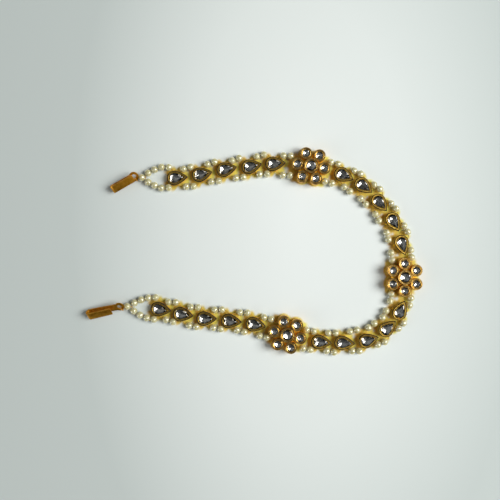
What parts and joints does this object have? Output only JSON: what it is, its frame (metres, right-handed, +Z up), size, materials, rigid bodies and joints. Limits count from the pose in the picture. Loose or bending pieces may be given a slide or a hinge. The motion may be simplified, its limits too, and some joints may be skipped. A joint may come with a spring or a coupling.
{
  "type": "matha patti",
  "caption": "Matha patti: a row of stone-set gold drops and flowers edged with pearls, worn along the hairline and held by a hair hook at each end.",
  "frame": {"origin": "middle of the laid-out piece, on the table that it lies on", "axes": "+Z up from the table, the stones' side; the open side of the loop faces -X, as in the picture"},
  "size_m": [0.1678, 0.1044, 0.0071],
  "materials": {
    "drop_gold": "polished gold plate",
    "flower_gold": "polished warm gold plate",
    "cut_stones": "clear, faceted, foil-backed",
    "pearls": "cream pearl lustre",
    "hook_metal": "antiqued gold strip",
    "thread": "twisted thread"
  },
  "bodies": {
    "root": {"drop_setting_01": "drop_gold", "drop_setting_02": "drop_gold", "drop_setting_03": "drop_gold", "drop_setting_04": "drop_gold", "drop_setting_05": "drop_gold", "drop_setting_06": "drop_gold", "drop_setting_07": "drop_gold", "drop_setting_08": "drop_gold", "drop_setting_09": "drop_gold", "drop_setting_10": "drop_gold", "drop_setting_11": "drop_gold", "drop_setting_12": "drop_gold", "drop_setting_13": "drop_gold", "drop_setting_14": "drop_gold", "drop_setting_15": "drop_gold", "drop_setting_16": "drop_gold", "drop_setting_17": "drop_gold", "drop_setting_18": "drop_gold", "drop_setting_19": "drop_gold", "drop_setting_20": "drop_gold", "drop_stone_01": "cut_stones", "drop_stone_02": "cut_stones", "drop_stone_03": "cut_stones", "drop_stone_04": "cut_stones", "drop_stone_05": "cut_stones", "drop_stone_06": "cut_stones", "drop_stone_07": "cut_stones", "drop_stone_08": "cut_stones", "drop_stone_09": "cut_stones", "drop_stone_10": "cut_stones", "drop_stone_11": "cut_stones", "drop_stone_12": "cut_stones", "drop_stone_13": "cut_stones", "drop_stone_14": "cut_stones", "drop_stone_15": "cut_stones", "drop_stone_16": "cut_stones", "drop_stone_17": "cut_stones", "drop_stone_18": "cut_stones", "drop_stone_19": "cut_stones", "drop_stone_20": "cut_stones", "flower_setting_1": "flower_gold", "flower_setting_2": "flower_gold", "flower_setting_3": "flower_gold", "flower_stones_1": "cut_stones", "flower_stones_2": "cut_stones", "flower_stones_3": "cut_stones", "pearls_upper_loop": "pearls", "pearls_lower_loop": "pearls", "pearls_1_outer": "pearls", "pearls_1_inner": "pearls", "pearls_2_outer": "pearls", "pearls_2_inner": "pearls", "pearls_3_outer": "pearls", "pearls_3_inner": "pearls", "pearls_4_outer": "pearls", "pearls_4_inner": "pearls", "hook_upper": "hook_metal", "hook_lower": "hook_metal", "thread": "thread"}
  },
  "joints": []
}
